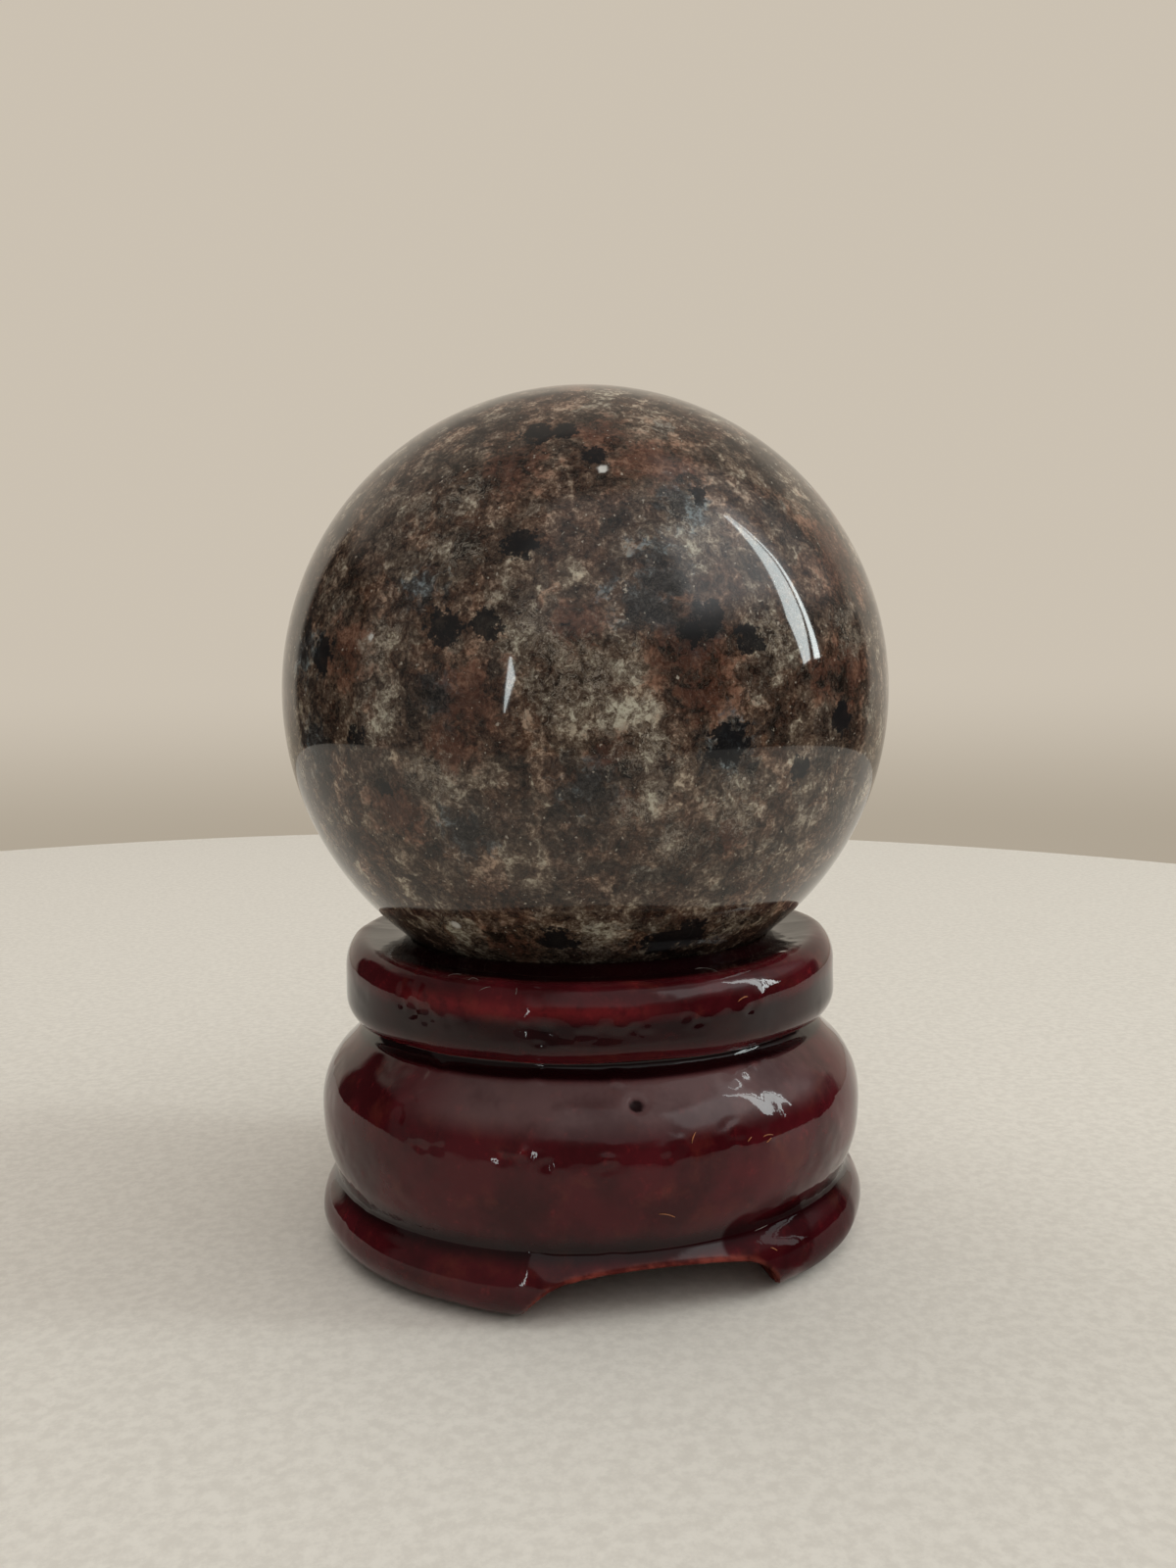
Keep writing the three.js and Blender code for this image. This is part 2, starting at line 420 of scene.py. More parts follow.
class Graph:
    """The nodes of one material or of the world, with sizes given in millimetres."""

    def __init__(self, owner, coordinates):
        owner.use_nodes = True
        self.tree = owner.node_tree
        self.place = self.node("ShaderNodeTexCoord").outputs[coordinates]

    def node(self, kind, settings=None, inputs=None):
        node = self.tree.nodes.new(kind)
        for key, value in (settings or {}).items():
            setattr(node, key, value)
        for key, value in (inputs or {}).items():
            self.feed(node.inputs[key], value)
        return node

    def feed(self, socket, value):
        """A link where the value comes from another node, and a plain setting otherwise."""
        if isinstance(value, bpy.types.NodeSocket):
            self.tree.links.new(value, socket)
        elif socket.type == "RGBA":
            socket.default_value = (*value, 1)
        else:
            socket.default_value = value

    def set(self, shader, **inputs):
        for key, value in inputs.items():
            self.feed(self.tree.nodes[shader].inputs[key.replace("_", " ")], value)

    def math(self, operation, *values):
        return self.node("ShaderNodeMath", {"operation": operation}, dict(enumerate(values))).outputs[0]

    def vector_math(self, operation, *values, output="Vector"):
        node = self.node("ShaderNodeVectorMath", {"operation": operation}, dict(enumerate(values)))
        return node.outputs[output]

    def dot(self, first, second):
        return self.vector_math("DOT_PRODUCT", first, second, output="Value")

    def noise(self, size, detail, roughness=0.55, distortion=0.0, vector=None, output="Fac"):
        inputs = {
            "Vector": vector or self.place,
            "Scale": 1 / (size * MM),
            "Detail": detail,
            "Roughness": roughness,
            "Distortion": distortion,
        }
        return self.node("ShaderNodeTexNoise", inputs=inputs).outputs[output]

    def crystals(self, size, vector):
        """A random number for each cell of a pattern of crystals."""
        cells = self.node("ShaderNodeTexVoronoi", inputs={"Vector": vector, "Scale": 1 / (size * MM)})
        return self.node("ShaderNodeSeparateColor", inputs={0: cells.outputs["Color"]}).outputs[0]

    def centred(self, noise):
        """The noise with its middle at zero."""
        return self.math("SUBTRACT", noise, NOISE_MIDDLE)

    def warped(self, size, reach, detail):
        """The place moved about by noise, which makes ragged outlines."""
        wander = self.noise(size, detail, output="Color")
        push = self.vector_math("SUBTRACT", wander, (NOISE_MIDDLE,) * 3)
        moved = self.vector_math("MULTIPLY", push, (reach * MM,) * 3)
        return self.vector_math("ADD", self.place, moved)

    def sum(self, first, second, share):
        return self.math("MULTIPLY_ADD", second, share, first)

    def span(self, value, low, high, start=0.0, end=1.0):
        """A smooth step from start to end as the value goes from low to high."""
        inputs = {"Value": value, "From Min": low, "From Max": high, "To Min": start, "To Max": end}
        return self.node("ShaderNodeMapRange", {"interpolation_type": "SMOOTHSTEP"}, inputs).outputs[0]

    def between(self, value, low, high, soft):
        """One where the value lies between low and high, with soft edges outside."""
        rise = self.span(value, low - soft, low)
        fall = self.span(value, high, high + soft, 1, 0)
        return self.math("MULTIPLY", rise, fall)

    def mix(self, share, first, second, blend="MIX"):
        node = self.node("ShaderNodeMix", {"data_type": "RGBA", "blend_type": blend}, {"Factor": share})
        colours = [socket for socket in node.inputs if socket.type == "RGBA"]
        self.feed(colours[0], first)
        self.feed(colours[1], second)
        return next(socket for socket in node.outputs if socket.type == "RGBA")

    def ramp(self, value, stops):
        """A colour by value, from pairs of value and colour."""
        node = self.node("ShaderNodeValToRGB", inputs={"Fac": value})
        elements = node.color_ramp.elements
        anywhere = 0.5
        while len(elements) < len(stops):
            elements.new(anywhere)
        for element, (position, colour) in zip(elements, stops):
            element.position = position
            element.color = (*colour, 1)
        return node.outputs["Color"]

    def painted(self, name):
        return self.node("ShaderNodeAttribute", {"attribute_name": name}).outputs["Fac"]

    def frayed(self, name, noise, share):
        """A painted value with its edges broken up by noise."""
        return self.sum(self.painted(name), noise, share)

    def bump(self, height, distance, strength):
        inputs = {"Height": height, "Distance": distance * MM, "Strength": strength}
        return self.node("ShaderNodeBump", inputs=inputs).outputs["Normal"]


def material_graph(name):
    material = bpy.data.materials.new(name)
    return material, Graph(material, "Object")


# Stone: inclusions that show from the front, each at a pixel of the photograph with its radius

BLACK_SPOTS = {
    "hooked black": (454, 641, 1.5),
    "hook's tail": (446, 628, 0.7),
    "round black": (497, 636, 1.2),
    "upper chip": (531, 556, 1.3),
    "left sliver": (330, 667, 1.5),
    "left oval": (364, 752, 1.0),
    "slate's edge": (713, 506, 0.8),
    "right pair": (722, 632, 1.3),
    "right pair low": (708, 648, 0.8),
    "right small": (766, 651, 1.2),
    "lower right": (745, 760, 1.6),
    "right oval": (859, 732, 1.3),
    "right foot": (816, 785, 1.0),
    "left low": (394, 804, 0.8),
    "seat band": (700, 954, 1.7),
    "seat band left": (674, 962, 1.6),
    "seat left": (568, 959, 1.5),
    "crown bar": (548, 441, 1.3),
    "crown bar right": (575, 439, 1.1),
    "crown small": (604, 463, 1.0),
}
SLATE_SPOTS = {
    "upper slate": (699, 516, 2.2),
    "middle slate high": (668, 578, 2.2),
    "middle slate": (664, 612, 2.6),
    "right slate": (716, 640, 1.8),
    "left slate": (444, 712, 1.6),
    "low left": (470, 850, 2.0),
    "low middle": (600, 800, 2.2),
    "left high": (430, 600, 1.8),
    "lower right": (745, 762, 2.2),
    # The two left edge spots are painted shade, darkening the sphere's left flank
    "left edge": (312, 668, 2.2),
    "left edge low": (318, 755, 2.2),
}
RUST_SPOTS = {
    "crown right": (670, 474, 2.6),
    "crown middle": (616, 439, 2.0),
    "crown left": (523, 479, 2.2),
    "left flank": (355, 662, 2.4),
    "left middle": (474, 709, 2.4),
    "left lower": (460, 764, 1.8),
    "centre hood": (585, 637, 1.8),
    "right upper": (705, 663, 2.4),
    "right middle": (719, 709, 2.2),
    "right flank": (850, 560, 3.0),
    "foot of streak": (838, 690, 1.4),
    "centre low": (624, 768, 1.3),
    "lower middle": (741, 851, 1.2),
    "lower left": (639, 824, 1.0),
    "seat ember": (521, 966, 1.7),
    "flank low": (405, 830, 2.2),
    "right edge": (868, 690, 2.2),
}
PALE_SPOTS = {
    "centre bloom": (575, 705, 2.6),
    "green bloom": (540, 640, 2.2),
    "upper left": (458, 560, 2.0),
    "left high": (428, 520, 1.6),
    "left flank": (388, 655, 1.8),
    "left low": (386, 726, 1.8),
    "under slate": (705, 540, 2.0),
    "right middle": (790, 655, 2.4),
    "lower middle": (660, 820, 1.8),
    "lower right": (755, 830, 2.2),
    "low right": (780, 874, 1.5),
    "low centre": (690, 865, 1.7),
    "lower left": (440, 790, 1.8),
    "belly": (640, 725, 2.2),
    # The centre and centre left spots are pale stone and also a painted reflection that lightens the
    # middle of the front
    "centre": (600, 690, 2.6),
    "centre left": (560, 668, 2.0),
    "centre right": (650, 770, 2.0),
    "crown left": (470, 505, 2.0),
    "right flank": (866, 645, 1.8),
    "seat middle": (612, 958, 2.2),
    "seat left": (468, 946, 1.8),
    "seat right": (750, 940, 1.8),
}
PITS = {
    "crown pit": (615, 478, 0.55),
    "seat pit": (465, 944, 0.6),
    "left pit": (378, 650, 0.4),
}
# Layer, its spots in the photograph, how far they spread, and the smallest and largest hidden spot
STONE_LAYERS = (
    ("black", BLACK_SPOTS, 1.0, 0.8, 1.8),
    ("slate", SLATE_SPOTS, 1.35, 2.0, 4.2),
    ("rust", RUST_SPOTS, 1.35, 1.4, 4.0),
    ("pale", PALE_SPOTS, 1.35, 1.8, 3.8),
)
HIDDEN_SPOTS = 34
HIDDEN_PITS = 9
SMALLEST_PIT = 0.4
LARGEST_PIT = 0.65
PIT_DEPTH = 0.14
FRONT_SHARE = 0.35

# Brightness of the stone by its noise, and the tints of its crystals by their random number
STONE_TONES = (
    (0.340, (0.012, 0.008, 0.006)),
    (0.430, (0.037, 0.023, 0.017)),
    (0.500, (0.073, 0.047, 0.034)),
    (0.568, (0.146, 0.106, 0.079)),
    (0.665, (0.405, 0.342, 0.270)),
)
CRYSTAL_TINTS = (
    (0.00, (0.42, 0.38, 0.38)),
    (0.20, (0.80, 0.66, 0.58)),
    (0.42, (1.16, 0.90, 0.78)),
    (0.55, (0.84, 0.86, 0.86)),
    (0.75, (1.12, 1.16, 1.12)),
    (0.90, (1.55, 1.62, 1.55)),
    (1.00, (0.40, 0.48, 0.55)),
)
RUST_TINT = (1.06, 0.65, 0.52)
GREEN_TINT = (1.46, 1.64, 1.62)
SLATE_TINT = (0.42, 0.64, 0.88)
EMBER_STONE = (0.118, 0.045, 0.030)
RUST_STONE = (0.071, 0.032, 0.022)
PALE_STONE = (0.520, 0.455, 0.370)
BLACK_STONE = (0.008, 0.008, 0.009)
CRUSHED_STONE = (0.62, 0.60, 0.55)
STONE_ROUGHNESS = 0.045
STONE_IOR = 1.46

# Noise patterns: size, detail, roughness and distortion; a share or fray says how much one adds
TONE_NOISE = (1.9, 5, 0.8)
GRAIN_NOISE = (0.38, 2, 0.6)
GRAIN_SHARE = 0.30
WIDE_NOISE = (5.0, 2, 0.5)
WIDE_SHARE = 0.30
RUST_NOISE = (1.9, 5, 0.7)
RUST_FRAY = 4.5
PALE_NOISE = (1.7, 5, 0.72)
PALE_FRAY = 4.5
SLATE_NOISE = (1.5, 5, 0.7)
SLATE_FRAY = 4.0
BLACK_NOISE = (0.9, 5, 0.7)
BLACK_FRAY = 3.6
STRAND_NOISE = (0.9, 4, 0.65, 1.6)
EMBER_NOISE = (0.7, 4, 0.65)
SPECK_NOISE = (0.45, 2, 0.5)
WARP_SIZE = 1.3
WARP_REACH = 2.2
WARP_DETAIL = 5
LARGE_CRYSTAL = 3.0
SMALL_CRYSTAL = 1.1
SMALL_CRYSTAL_SHARE = 0.38
# Smooth steps: the values where each starts and ends, and the shares there unless they are zero and one
RUST_TINTED = (2.1, 3.0, 0, 0.9)
PALE_TINTED = (2.1, 3.2, 0, 0.85)
SLATE_TINTED = (1.9, 2.7, 0, 0.9)
RUST_SMOOTHED = (2.3, 3.1, 0, 0.6)
STRAND_EDGE = (0.0, 0.035, 1, 0)
STRANDS_IN_PALE = (2.1, 3.2, 0.08, 0.55)
EMBER_EDGE = (0.56, 0.66, 0, 0.45)
EMBERS_IN_RUST = (2.0, 3.0)
SPECK_EDGE = (0.68, 0.76, 0, 0.7)
BLACK_EDGE = (1.68, 1.92, 0, 0.93)
PIT_EDGE = (0.05, 0.5)


def hidden_spots(camera, count, smallest, largest, draw):
    """Further inclusions on the sides that the photograph doesn't show."""
    front = on_sphere(camera, IMAGE_WIDTH / 2, SPHERE_PIXEL_Y)
    found = []
    while len(found) < count:
        direction = unit(draw.normal(size=3))
        if direction @ front < FRONT_SHARE:
            found.append((direction, draw.uniform(smallest, largest)))
    return found


def spot_field(directions, spots):
    """One inside a spot's middle, zero at its rim and below zero outside."""
    field = np.full(len(directions), -1.0)
    for centre, radius in spots:
        apart = np.linalg.norm(directions - centre, axis=1) * SPHERE_RADIUS
        field = np.maximum(field, 1 - apart / radius)
    return field


def mark_stone(camera, sphere):
    draw = np.random.default_rng(SEED)
    directions = (places(sphere) - SPHERE_CENTRE) / SPHERE_RADIUS
    for name, seen, spread, smallest, largest in STONE_LAYERS:
        spots = [(on_sphere(camera, x, y), radius * spread) for x, y, radius in seen.values()]
        spots += hidden_spots(camera, HIDDEN_SPOTS, smallest, largest, draw)
        paint(sphere, name, spot_field(directions, spots))
    pits = [(on_sphere(camera, x, y), radius) for x, y, radius in PITS.values()]
    pits += hidden_spots(camera, HIDDEN_PITS, SMALLEST_PIT, LARGEST_PIT, draw)
    hollow = np.clip(spot_field(directions, pits), 0, 1)
    paint(sphere, "pit", hollow)
    sunk = SPHERE_RADIUS - PIT_DEPTH * smoothstep(0, 1, hollow)
    move(sphere, SPHERE_CENTRE + directions * sunk[:, None])


def stone_material():
    material, graph = material_graph("mottled_stone")
    ragged = graph.warped(WARP_SIZE, WARP_REACH, WARP_DETAIL)
    tone = graph.noise(*TONE_NOISE, vector=ragged)
    grain = graph.centred(graph.noise(*GRAIN_NOISE))
    wide = graph.centred(graph.noise(*WIDE_NOISE, vector=ragged))
    tone = graph.sum(tone, grain, GRAIN_SHARE)
    tone = graph.sum(tone, wide, WIDE_SHARE)
    colour = graph.ramp(tone, STONE_TONES)
    large = graph.ramp(graph.crystals(LARGE_CRYSTAL, ragged), CRYSTAL_TINTS)
    small = graph.ramp(graph.crystals(SMALL_CRYSTAL, ragged), CRYSTAL_TINTS)
    tint = graph.mix(SMALL_CRYSTAL_SHARE, large, small)

    # Soft patches: brown rust, green-grey bloom and blue-grey slate
    rust = graph.frayed("rust", graph.noise(*RUST_NOISE, vector=ragged), RUST_FRAY)
    bloom = graph.frayed("pale", graph.noise(*PALE_NOISE, vector=ragged), PALE_FRAY)
    slate = graph.frayed("slate", graph.noise(*SLATE_NOISE, vector=ragged), SLATE_FRAY)
    tint = graph.mix(graph.span(rust, *RUST_TINTED), tint, RUST_TINT)
    tint = graph.mix(graph.span(bloom, *PALE_TINTED), tint, GREEN_TINT)
    tint = graph.mix(graph.span(slate, *SLATE_TINTED), tint, SLATE_TINT)
    colour = graph.mix(1.0, colour, tint, "MULTIPLY")
    colour = graph.mix(graph.span(rust, *RUST_SMOOTHED), colour, RUST_STONE)

    # Grains: pale feathers that gather in the blooms, warm flecks in the rust and white specks
    strand = graph.centred(graph.noise(*STRAND_NOISE, vector=ragged))
    feather = graph.span(graph.math("ABSOLUTE", strand), *STRAND_EDGE)
    feather = graph.math("MULTIPLY", feather, graph.span(bloom, *STRANDS_IN_PALE))
    colour = graph.mix(feather, colour, PALE_STONE)
    ember = graph.span(graph.noise(*EMBER_NOISE), *EMBER_EDGE)
    ember = graph.math("MULTIPLY", ember, graph.span(rust, *EMBERS_IN_RUST))
    colour = graph.mix(ember, colour, EMBER_STONE)
    speck = graph.span(graph.noise(*SPECK_NOISE), *SPECK_EDGE)
    colour = graph.mix(speck, colour, PALE_STONE)

    # Hard inclusions and crushed pits
    black = graph.frayed("black", graph.noise(*BLACK_NOISE), BLACK_FRAY)
    colour = graph.mix(graph.span(black, *BLACK_EDGE), colour, BLACK_STONE)
    colour = graph.mix(graph.span(graph.painted("pit"), *PIT_EDGE), colour, CRUSHED_STONE)
    graph.set("Principled BSDF", Base_Color=colour, Roughness=STONE_ROUGHNESS, IOR=STONE_IOR)
    return material


# Lacquer: the lumps, ripples and drips of the coat are part of the stand's mesh

LUMP_SIZE = 7.0
LUMP_HEIGHT = 0.12
RIPPLE_SIZE = 2.2
RIPPLE_HEIGHT = 0.065
RIPPLE_STRETCH = 2.0
PUCKER_SIZE = 1.15
PUCKER_HEIGHT = 0.035
RAGGED_SIZE = 0.95
RAGGED_HEIGHT = 0.13
BUSY_SIZE = 6.0
BUSY_STEP = (-0.1, 0.4)
CALM_SHARE = 0.25
COAT_START = 2.0
GROOVE_TILT = 0.3
GROOVE_REACH = 3.0
GROOVE_FADE = 2.0
# The collar's upper edge and the groove above the foot ring sag a little on the photograph's side
COLLAR_SAG = 1.25
COLLAR_SAG_FULL = 26.0
GROOVE_SAG = 0.4

# Flaws that show from the front: the photograph's pixel, the radius and the height, below zero for a dip
FLAWS = {
    "belly dimple": (650, 1128, 0.62, -0.34),
    "collar bubble": (534, 1028, 0.35, 0.05),
    "collar curl": (541, 1055, 0.80, 0.07),
    "collar curl dip": (550, 1060, 0.50, -0.12),
    "collar drip": (577, 1060, 0.40, 0.05),
    "collar scar": (556, 1040, 0.90, -0.13),
    "collar gap": (619, 1048, 1.30, -0.13),
    "collar spot": (634, 1035, 0.50, 0.16),
    "collar flake": (757, 1018, 0.60, 0.14),
    "collar ridge": (777, 1006, 0.75, 0.16),
    "left collar chip": (410, 1010, 1.00, -0.06),
    "shoulder glint left": (547, 1102, 0.60, 0.13),
    "shoulder glint right": (628, 1100, 0.60, 0.13),
    "upper belly ridge": (750, 1101, 0.60, 0.13),
    "upper belly ridge low": (760, 1094, 0.60, 0.15),
    "upper belly ridge high": (770, 1087, 0.60, 0.15),
    "upper belly ridge end": (780, 1081, 0.60, 0.14),
    "belly pane": (785, 1126, 1.15, -0.085),
    "belly pane end": (806, 1127, 0.45, 0.12),
    "belly star": (622, 1183, 0.50, 0.15),
    "belly star arm": (631, 1176, 0.40, -0.10),
    "belly bead": (531, 1176, 0.45, 0.18),
    "belly scratch": (498, 1175, 0.40, -0.10),
    "belly blister": (434, 1112, 0.70, 0.05),
    "belly pock": (410, 1138, 0.45, -0.14),
    "rust chips": (784, 1162, 0.70, 0.12),
    "foot drip": (541, 1280, 1.20, 0.55),
    "arch bead": (625, 1282, 0.60, 0.16),
    "groove nib": (866, 1181, 0.30, 0.15),
}
# Places on the front where the coat is worn dull, each with its radius
WORN_SPOTS = {
    "foot wedge": (780, 1261, 3.4),
    "foot wedge left": (762, 1262, 3.0),
    "foot wedge right": (797, 1262, 3.4),
    "foot wedge end": (812, 1264, 3.0),
    "foot wedge top": (804, 1247, 3.2),
    "belly dimple": (650, 1128, 1.0),
}
# Places where painted shade darkens the coat, which is also only half as glossy there
SHADED_DULL_SPOTS = {
    "foot wedge": (790, 1262, 5.5),
    "foot right": (838, 1258, 5.5),
    "foot right end": (860, 1240, 5.0),
}
SHADED_DULL_SHARE = 0.5
# Places where the coat is puckered, so that what it mirrors has ragged edges
RAGGED_SPOTS = {
    "collar left": (415, 1008, 2.4),
    "collar left end": (440, 1022, 1.8),
    "belly left": (425, 1130, 2.8),
    "belly left low": (440, 1163, 2.4),
    "belly left high": (442, 1100, 1.8),
    "band left": (505, 1180, 1.8),
    "band middle": (560, 1184, 1.8),
    "band star": (625, 1184, 2.0),
    "band right": (690, 1172, 1.8),
    "band end": (750, 1162, 2.0),
    "collar edge": (600, 1040, 1.4),
    "collar edge middle": (650, 1036, 1.4),
    "collar edge right": (710, 1028, 1.4),
    "collar edge end": (760, 1016, 1.4),
}
# Dips where painted shade darkens the coat
SHADED_DIPS = {
    "belly dimple": (650, 1128, 0.75),
    "collar scar": (556, 1040, 0.6),
}
HIDDEN_FLAWS = 46
FLAW_RADII = (0.35, 0.95)
FLAW_HEIGHT = 0.15

# Where wood is bare, a painted glow along the collar's lower lip, and painted shade in the creases,
# under the sphere and in the hollow
LIP_GLOW_EDGE = (21.86, 20.25)
LIP_GLOW_WIDTH = 0.2
CUT_FULL = 0.3
CUT_NONE = 0.75
HOLLOW_RIM = 0.4
HOLLOW_MARGIN = 1.0
# Painted shade in the crease under the collar and in the groove above the foot ring
WAIST_SHADE_HEIGHTS = (18.5, 19.1)
WAIST_SHADE_RADII = (21.8, 22.3)
GROOVE_SHADE_WIDTH = 1.4
GROOVE_SHADE = 0.8
# Painted shadow of the sphere on the collar's top and on its face
SEAT_SHADOW_INNER = 19.6
SEAT_SHADOW_OUTER = 21.8
COLLAR_SHADE = 0.72
COLLAR_SHADE_HEIGHTS = (24.2, 25.8)
# A painted red glow along the collar's upper edge, on the side facing the camera: height, width, and
# azimuths from the camera
EDGE_GLOW = 0.30
EDGE_GLOW_HEIGHT = 25.9
EDGE_GLOW_WIDTH = 0.65
EDGE_GLOW_AZIMUTHS = (-36, 4)
EDGE_GLOW_SOFTNESS = 16
# A painted grey sheen on the belly's shoulder, on the side facing the camera: heights, and azimuths from
# the camera with their softness
SHEEN_HEIGHTS = (14.6, 16.6)
SHEEN_AZIMUTHS = (-20, 42)
SHEEN_SOFTNESS = 26

DEEP_LACQUER = (0.036, 0.0029, 0.0045)
RED_LACQUER = (0.067, 0.0051, 0.0082)
WARM_LACQUER = (0.100, 0.0180, 0.0115)
# Also the colour of the painted glow
BRIGHT_LACQUER = (0.300, 0.0220, 0.0250)
# The colour of the painted sheen
PAINTED_SHEEN_COLOUR = (0.135, 0.0950, 0.0920)
# The colour of the painted shade
PAINTED_SHADE_COLOUR = (0.004, 0.0010, 0.0014)
CUT_WOOD = (0.190, 0.0400, 0.0290)
CUT_WOOD_DARK = (0.070, 0.0120, 0.0100)

# Noise patterns, as for the stone; the coat's fine peel with its height and strength
PATCH_NOISE = (6.0, 4, 0.6)
FINE_NOISE = (1.3, 5, 0.65)
STAIN_NOISE = (3.4, 4, 0.6, 0.2)
PEEL_NOISE = (0.8, 3, 0.5)
PEEL = (0.02, 0.5)
# Smooth steps, as for the stone
RED_EDGE = (0.36, 0.62)
WARM_EDGE = (0.52, 0.74, 0, 0.55)
BRIGHT_EDGE = (0.56, 0.76, 0, 0.22)
PAINTED_SHEEN_BREAKS = (0.3, 0.6, 0.25, 0.55)
PAINTED_SHADE_EDGE = (0.1, 0.9, 0, 0.9)
PAINTED_GLOW_BREAKS = (0.30, 0.55, 0.25, 1.0)
WOOD_EDGE = (0.38, 0.62)
CUT_DULL = (0.3, 1.0)
WORN_DULL = (0.1, 0.8)
# Roughness and weight where the coat is glossy and where it is dull
BASE_ROUGHNESS = (0.40, 0.75)
COAT_WEIGHT = (1.0, 0.12)
COAT_ROUGHNESS = 0.03
COAT_IOR = 1.36


def flaw_field(camera, stand):
    """How far the flaws push each point of the coat out."""
    surface = Surface(stand)
    points = places(stand)
    normals = vertex_values(stand, "normal")
    draw = np.random.default_rng(SEED + 1)
    flaws = [(surface.seen(camera, x, y), radius, height) for x, y, radius, height in FLAWS.values()]
    outer = axis_distance(points) > WAIST[0]
    back = np.nonzero(outer & (normals @ toward_camera(0) < 0))[0]
    for index in draw.choice(back, HIDDEN_FLAWS, replace=False):
        flaws.append((points[index], draw.uniform(*FLAW_RADII), draw.uniform(-FLAW_HEIGHT, FLAW_HEIGHT)))
    field = np.zeros(len(points))
    for place, radius, height in flaws:
        apart = np.linalg.norm(points - place, axis=1)
        field += height * np.exp(-((apart / radius) ** 2))
    return field


def patches(surface, camera, points, spots):
    """One inside each spot and zero outside, with a soft rim."""
    field = np.zeros(len(points))
    for pixel_x, pixel_y, radius in spots.values():
        apart = np.linalg.norm(points - surface.seen(camera, pixel_x, pixel_y), axis=1)
        field = np.maximum(field, smoothstep(radius, radius / 2, apart))
    return field


def window(value, limits, softness):
    """One between the limits and zero outside, with soft edges."""
    low, high = limits
    return smoothstep(low - softness, low, value) * smoothstep(high + softness, high, value)


def mark_lacquer(camera, stand):
    """Marks a painted glow on the collar's edges, painted shade and a painted sheen on the coat, where
    the coat is worn, and where wood was cut after turning.
    """
    surface = Surface(stand)
    points = places(stand)
    radius = axis_distance(points)
    height = points[:, 2]
    angle = from_arch(np.arctan2(points[:, 0], -points[:, 1]))
    lift = arch_height(radius * np.sin(angle))
    cut = np.where(lift > NO_ARCH, smoothstep(CUT_NONE, CUT_FULL, height - lift), 0.0)
    hollow = smoothstep(FOOT_INNER_RADIUS + HOLLOW_RIM, FOOT_INNER_RADIUS, radius)
    hollow *= height < HOLLOW_HEIGHT + HOLLOW_MARGIN
    paint(stand, "cut", np.maximum(cut, hollow))
    right = points @ np.array(toward_camera(90))
    near = points @ np.array(toward_camera(0))
    side = np.degrees(np.arctan2(right, near))
    # Painted glow: a red line along the collar's lower lip, and a red streak along its upper edge on the
    # side facing the camera
    edge = np.hypot(radius - LIP_GLOW_EDGE[0], height - LIP_GLOW_EDGE[1])
    glow = EDGE_GLOW * np.exp(-(((height - EDGE_GLOW_HEIGHT) / EDGE_GLOW_WIDTH) ** 2))
    glow *= window(side, EDGE_GLOW_AZIMUTHS, EDGE_GLOW_SOFTNESS) * (radius > COLLAR_LIP_RADIUS)
    paint(stand, "thin", np.maximum(np.exp(-((edge / LIP_GLOW_WIDTH) ** 2)), glow))
    # Painted shade in the crease under the collar and in the groove above the foot ring
    waist = smoothstep(*WAIST_SHADE_HEIGHTS, height) * (height < WAIST[1])
    waist *= smoothstep(*WAIST_SHADE_RADII[::-1], radius)
    groove = np.hypot(radius - RING_GROOVE[0], height - RING_GROOVE[1])
    groove_shade = GROOVE_SHADE * np.exp(-((groove / GROOVE_SHADE_WIDTH) ** 2))
    # Painted shadow of the sphere on the collar's top and on its face
    seat = smoothstep(SEAT_SHADOW_OUTER, SEAT_SHADOW_INNER, radius) * (height > COLLAR_BAND_TOP)
    collar = COLLAR_SHADE * smoothstep(COLLAR_BOTTOM, COLLAR_BAND_BOTTOM, height)
    collar *= smoothstep(*COLLAR_SHADE_HEIGHTS[::-1], height)
    # Painted shade in the dimple and the scar
    dip_shade = patches(surface, camera, points, SHADED_DIPS)
    # Painted shade on the foot ring's right, where the coat is also dull
    faded = SHADED_DULL_SHARE * patches(surface, camera, points, SHADED_DULL_SPOTS)
    # The painted shade: creases of the waist and groove, the sphere's shadow on the collar, dips, dull
    # patches and the hollow under the stand
    paint(stand, "painted_shade", np.maximum.reduce([waist, groove_shade, seat, collar, dip_shade, faded, hollow]))
    paint(stand, "worn", np.maximum(patches(surface, camera, points, WORN_SPOTS), faded))
    # A painted sheen on the belly's shoulder, on the side facing the camera, kept off the waist's
    # painted shade
    bloom = window(side, SHEEN_AZIMUTHS, SHEEN_SOFTNESS)
    bloom *= smoothstep(*SHEEN_HEIGHTS, height) * (height < WAIST[1])
    paint(stand, "bloom", bloom * (1 - waist))


